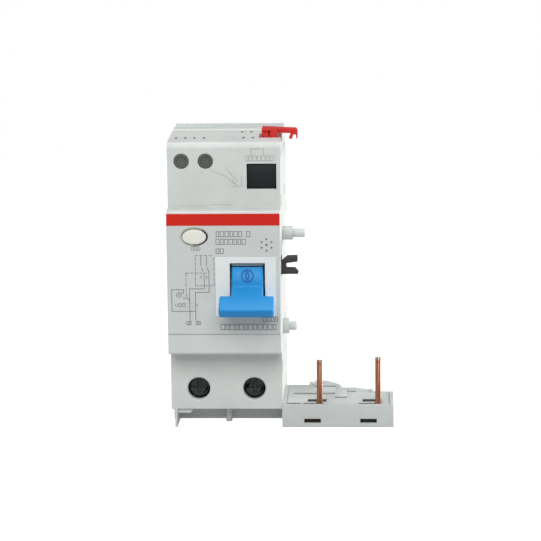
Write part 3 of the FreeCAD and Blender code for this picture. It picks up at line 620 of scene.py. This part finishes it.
def print_shoulder():
    """Faint moulded marks on the upper shoulder: breaker sketch, latch sketch, parting lines."""
    width, hairline, gap = 0.16, 0.12, 0.32
    relief = Relief((0, SHOULDER_Y, 0), *FRONT, height=0.03)
    relief.rows(6.9, 15.6, 37.2, 38.7, 21, width, gap)
    relief.path([(8.6, 38.9), (8.6, 40.9), (12.4, 40.9), (12.4, 38.9)], width)
    relief.line((10.5, 40.9), (10.5, 41.6), width)
    relief.path([(-4.2, 34.4), (-2.6, 33.6), (0.4, 32.6), (2.6, 30.6), (4.2, 29.4)], width)
    relief.path([(0.6, 35.0), (2.2, 33.2), (3.6, 31.6)], width)
    relief.ring(3.4, 30.9, 0.75, 0.6, 16)
    relief.path([(2.2, 29.3), (5.6, 29.3), (5.6, 32.6)], width)
    relief.line((-14.0, 23.2), (-4.4, 23.2), hairline)
    relief.line((-4.0, 23.6), (2.2, 23.6), hairline)
    return relief.finish("shoulder_marks", "case", FAINT_INK_AND_SHADOW)


def film_edge():
    """Painted shadow: a darker grey line under the lower edge of the film."""
    inset, depth = 0.05, 0.28
    relief = Relief((0, NOSE_Y, 0), *FRONT, height=0.05)
    relief.box(inset - CASE_HALF, CASE_HALF - inset, FILM_LOW - depth, FILM_LOW)
    return relief.finish("film_edge", "case", FAINT_INK_AND_SHADOW)


# ---- toggle and its window ----------------------------------------------------------------
def toggle_mark():
    """Raised ring and upright oval, the usual off mark, on the drum of the toggle; its darker blue is painted
    shade.
    """
    rise = 3.5                               # middle of the mark above the axis
    sunk = 0.2
    slope = math.asin(rise / DRUM_RADIUS)
    outward = Vector((0, -math.cos(slope), math.sin(slope)))
    up = Vector((0, math.sin(slope), math.cos(slope)))
    relief = Relief(TOGGLE_AXIS + outward * (DRUM_RADIUS - sunk), (1, 0, 0), up, height=0.36, sink=sunk)
    relief.ring(0, 0, 2.0, 1.6, 36)
    relief.ring(0, 0, 0.68, 0.3, 20, squash=1.9)
    return relief.finish("toggle_mark", "toggle", MARK_SHADE_BLUE)


def toggle_surround():
    """Smooth pale field round the toggle's window, left bare by the film."""
    x0, x1, z0, z1 = -2.5, 16.3, -10.3, 8.4
    left, right = TOGGLE_X - WINDOW_HALF, TOGGLE_X + WINDOW_HALF
    low, high = WINDOW_Z
    relief = Relief((0, NOSE_Y, 0), *FRONT, height=0.1)
    relief.box(x0, left, z0, z1)
    relief.box(right, x1, z0, z1)
    relief.box(left, right, high, z1)
    relief.box(left, right, z0, low)
    return relief.finish("toggle_surround", "case", MATERIALS["pale_plastic"])


def bar_along_x(name, half, profile, body, material):
    """Closed bar over the toggle's width with the same (y, z) outline all along X."""
    bm = bmesh.new()
    ends = [[bm.verts.new((x * MM, y * MM, z * MM)) for y, z in profile]
            for x in (TOGGLE_X - half, TOGGLE_X + half)]
    count = len(profile)
    bm.faces.new(ends[0])
    bm.faces.new(ends[1][::-1])
    for i in range(count):
        j = (i + 1) % count
        bm.faces.new((ends[0][j], ends[0][i], ends[1][i], ends[1][j]))
    bmesh.ops.recalc_face_normals(bm, faces=bm.faces)
    mesh = bpy.data.meshes.new(name)
    bm.to_mesh(mesh)
    bm.free()
    return new_object(name, mesh, body, material, smooth=None)


def window_lintel():
    """Strip that slopes inwards along the top of the toggle's window; its grey-blue is painted shade."""
    high = WINDOW_Z[1]
    outline = [(NOSE_Y, high), (NOSE_Y + 0.5, high - 0.15), (NOSE_Y + 0.7, high), (NOSE_Y + 0.1, high + 0.65)]
    bar_along_x("window_lintel", WINDOW_HALF - 0.1, outline, "case",
                MATERIALS["lintel_plastic"])


def drum_painted_shade_bands():
    """Painted shade across the drum just under the window's upper edge: a grey band for the shaded lintel, a
    dark band for the gap under it.
    """
    outer, inner, steps = DRUM_RADIUS + 0.06, DRUM_RADIUS - 0.2, 3
    split = 42.3                             # degrees above level where the two bands meet
    for name, start, end, material in (("drum_band_grey", split, 49.5, "lintel_plastic"),
                                       ("drum_band_dark", 39.2, split, "black_plastic")):
        turns = [math.radians(start + (end - start) * i / steps) for i in range(steps + 1)]
        outline = [(TOGGLE_AXIS.y - radius * math.cos(turn), TOGGLE_AXIS.z + radius * math.sin(turn))
                   for radius, order in ((outer, turns), (inner, turns[::-1])) for turn in order]
        bar_along_x(name, DRUM_HALF, outline, "toggle", MATERIALS[material])


def button_gap():
    """Painted shade: a dark part-ring in the gap on the right and lower side of the test button."""
    outer, inner, squash = 4.16, 3.8, 0.63
    start, sweep = -95.0, 150.0              # degrees, anticlockwise from the right
    relief = Relief((0, NOSE_Y, 0), *FRONT, height=0.03)
    relief.ring(BUTTON_X, BUTTON_Z, outer, inner, 28, start, sweep, squash)
    return relief.finish("button_gap", "case", MATERIALS["black_plastic"])


# ---- top and side walls -------------------------------------------------------------------
def vent_liners():
    """Painted shade: a dark sheet a little below the surface in each vent slot of the top."""
    half_x, half_y = 0.39, 1.69
    front_y, front_z = -34.5, 43.1
    rear_y, rear_z = -22.7, 43.6
    slots = [(-15.3 + 2.9 * i, front_y, front_z) for i in range(4)]
    slots += [(x, front_y, front_z) for x in (5.9, 8.8)]
    slots += [(x, rear_y, rear_z) for x in (4.8, 7.7)]
    relief = Relief((0, 0, 0), *TOP, height=0.0, sink=0.2)
    for x, y, z in slots:
        relief.at((0, 0, z)).box(x - half_x, x + half_x, y - half_y, y + half_y)
    return relief.finish("vent_liners", "case", MATERIALS["dark_plastic"])


def side_mouldings():
    """Ejector marks, a parting line and shallow panel outlines on both side walls."""
    width = 0.18
    for name, side, axes in (("left_mouldings", -1, LEFT), ("right_mouldings", 1, RIGHT)):
        relief = Relief((side * CASE_HALF, 0, 0), *axes, height=0.06)
        for y, z in ((-38.0, 24.0), (-12.0, 24.0), (-38.0, -29.0), (-14.0, -18.0)):
            relief.ring(side * y, z, 1.9, 1.72, 32)
        for y, z in ((-28.0, 9.0), (-28.0, 3.0)):
            relief.ring(side * y, z, 1.1, 0.95, 24)
        for outline in ([(-46.5, 15.0), (-46.5, -13.5)],
                        [(-41.0, 38.5), (-7.5, 38.5), (-1.0, 33.0)],
                        [(-41.0, -43.5), (-7.0, -43.5), (-1.0, -39.0)]):
            relief.path([(side * y, z) for y, z in outline], width)
        relief.finish(name, "case", FAINT_INK_AND_SHADOW)


# ---- terminal wing ------------------------------------------------------------------------
def rounded_bar(bm, x, y, half_x, half_y, radius, low, high):
    """Upright bar with rounded long edges and an eased top."""
    steps, ease, top_scale = 4, 0.2, 0.72
    rim = []
    for corner, (sx, sy) in enumerate(((1, 1), (-1, 1), (-1, -1), (1, -1))):
        for i in range(steps + 1):
            angle = math.radians(90 * (corner + i / steps))
            rim.append((sx * (half_x - radius) + radius * math.cos(angle),
                        sy * (half_y - radius) + radius * math.sin(angle)))
    rings = []
    for z, grow in ((low, 1.0), (high - ease, 1.0), (high, top_scale)):
        rings.append([bm.verts.new(((x + u * grow) * MM, (y + v * grow) * MM, z * MM)) for u, v in rim])
    count = len(rim)
    bm.faces.new(rings[0][::-1])
    bm.faces.new(rings[-1])
    for below, above in zip(rings, rings[1:]):
        for i in range(count):
            j = (i + 1) % count
            bm.faces.new((below[i], below[j], above[j], above[i]))


def folded_pins():
    """Contact pins: copper strip folded into two rounded halves with a gap between them."""
    leaves = ((-0.38, 0.5), (0.57, 0.32))    # place off the pin's middle and half the thickness
    leaf_half, leaf_edge = 1.08, 0.3
    fold_shift, fold_half_x, fold_half_y, fold_edge, fold_drop = 0.18, 0.2, 0.85, 0.1, 1.2
    for side, taller in (("left", 0.6), ("right", 0.4)):
        node = "contact_pin_" + side
        low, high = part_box(node)
        centre_x = (low[X] + high[X]) / (2 * MM)
        centre_y = (low[Y] + high[Y]) / (2 * MM)
        foot = low[Z] / MM
        top = high[Z] / MM + taller
        bm = bmesh.new()
        for shift, half in leaves:
            rounded_bar(bm, centre_x + shift, centre_y, half, leaf_half, leaf_edge, foot, top)
        rounded_bar(bm, centre_x + fold_shift, centre_y, fold_half_x, fold_half_y, fold_edge,
                    foot, top - fold_drop)
        mesh = bpy.data.meshes.new("breaker_pin_" + side)
        bm.to_mesh(mesh)
        bm.free()
        obj = new_object("breaker_pin_" + side, mesh, body_of_node(node),
                         MATERIALS["bare_copper"], smooth=50.0)
        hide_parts(node)


def wing_windows():
    """Painted shade: dark sheets in the windows behind the pins and in the slots along the wing's front."""
    half = 3.0
    window_y, slot_y = (-38.2, -34.9), (-41.0, -40.2)
    slots = [(x - 4.2, x + 1.1) for x in WING_WINDOW_X] + [(18.95, 23.2)]
    relief = Relief((0, 0, COVER_Z), *TOP, height=0.04, sink=0.05)
    for x in WING_WINDOW_X:
        relief.box(x - half, x + half, *window_y)
    for x0, x1 in slots:
        relief.box(x0, x1, *slot_y)
    return relief.finish("wing_windows", "case", MATERIALS["dark_plastic"])


def wing_feet():
    """Painted shade: mid-grey strips at the foot of each raised part of the wing's cover, on its front face.
    """
    relief = Relief((0, 0, 0), *FRONT, height=0.05)
    low, high = COVER_Z - 0.05, COVER_Z + 0.3
    for y, x0, x1 in ((-27.4, 20.6, 33.7), (-32.8, 33.8, 37.7), (-16.6, 26.9, 33.9), (-24.0, 34.8, 40.4)):
        relief.at((0, y, 0)).box(x0, x1, low, high)
    return relief.finish("wing_feet", "case", MATERIALS["shaded_plastic"])


dress_frame()
round_small_parts()
print_label()
print_shoulder()
toggle_mark()
toggle_surround()
window_lintel()
film_edge()
vent_liners()
folded_pins()
wing_windows()
wing_feet()
side_mouldings()
button_gap()
drum_painted_shade_bands()


# ---- stage, light and camera --------------------------------------------------------------
def floor_paper():
    """White paper that glows to the camera and gives the device less light from below."""
    bounce, glow = 0.28, 0.93
    graph = Graph("floor_paper")
    seen = graph.nodes.new("ShaderNodeLightPath").outputs["Is Camera Ray"]
    paper = graph.blend(graph.noise(3.0), (0.3, 0.3, 0.3, 1), (0.34, 0.34, 0.34, 1))
    graph.set("Base Color", graph.blend(seen, paper, (0.4, 0.4, 0.4, 1)))
    graph.set("Roughness", 0.9)
    graph.set("Specular IOR Level", 0.1)
    graph.set("Emission Color", (1.0, 1.0, 1.0, 1.0))
    graph.set("Emission Strength", graph.remap(seen, bounce, glow, 0.0, 1.0))
    return graph.material


def lay_floor():
    """Wide flat sheet just under the device."""
    half_size, gap = 0.6, 0.1 * MM
    bm = bmesh.new()
    bmesh.ops.create_grid(bm, x_segments=12, y_segments=12, size=half_size)
    mesh = bpy.data.meshes.new("floor")
    bm.to_mesh(mesh)
    bm.free()
    floor = bpy.data.objects.new("floor", mesh)
    floor.location = (0, 0, CAD_BOX[0][2] - gap)
    bpy.context.scene.collection.objects.link(floor)
    dress(floor, floor_paper())


def surround():
    """World that is white to the camera and a weak fill light to the device."""
    fill, backdrop = 0.2, 1.0
    world = bpy.data.worlds.new("surround")
    world.use_nodes = True
    tree = world.node_tree
    background = tree.nodes["Background"]
    background.inputs["Color"].default_value = (1.0, 1.0, 1.0, 1.0)
    seen = tree.nodes.new("ShaderNodeLightPath").outputs["Is Camera Ray"]
    strength = tree.nodes.new("ShaderNodeMapRange")
    strength.inputs["To Min"].default_value = fill
    strength.inputs["To Max"].default_value = backdrop
    tree.links.new(seen, strength.inputs["Value"])
    tree.links.new(strength.outputs["Result"], background.inputs["Strength"])
    bpy.context.scene.world = world


def lamps():
    """Large soft lamps aimed near the origin: place and size in metres, power in watts."""
    aim = Vector((0.01, -0.02, 0.0))
    for name, place, size, watts in (("key", (0.0, -0.7, 0.5), (0.8, 0.5), 5.55),
                                     ("overhead", (0.0, 0.08, 0.6), (0.5, 0.3), 1.8),
                                     ("right_wall", (0.57, 0.2, 0.04), (0.5, 0.16), 4.1)):
        data = bpy.data.lights.new(name, "AREA")
        data.shape = "RECTANGLE"
        data.size, data.size_y = size
        data.energy = watts
        obj = bpy.data.objects.new(name, data)
        obj.location = place
        obj.rotation_euler = (aim - Vector(place)).to_track_quat("-Z", "Y").to_euler()
        bpy.context.scene.collection.objects.link(obj)


def camera():
    """Long lens a little above and right of the front."""
    data = bpy.data.cameras.new("camera")
    data.lens = 168.4
    data.sensor_width = 36.0
    data.clip_start = 0.01
    obj = bpy.data.objects.new("camera", data)
    azimuth, elevation, tilt = math.radians(2.506), math.radians(10.003), math.radians(-0.57)
    back = Vector((math.sin(azimuth) * math.cos(elevation), -math.cos(azimuth) * math.cos(elevation),
                   math.sin(elevation)))
    roll = Quaternion((0, 0, 1), tilt)
    obj.location = (0.04818, -0.81911, 0.13962)
    obj.rotation_euler = ((-back).to_track_quat("-Z", "Y") @ roll).to_euler()
    bpy.context.scene.collection.objects.link(obj)
    bpy.context.scene.camera = obj


bpy.context.scene.view_settings.view_transform = "Standard"
lay_floor()
surround()
lamps()
camera()
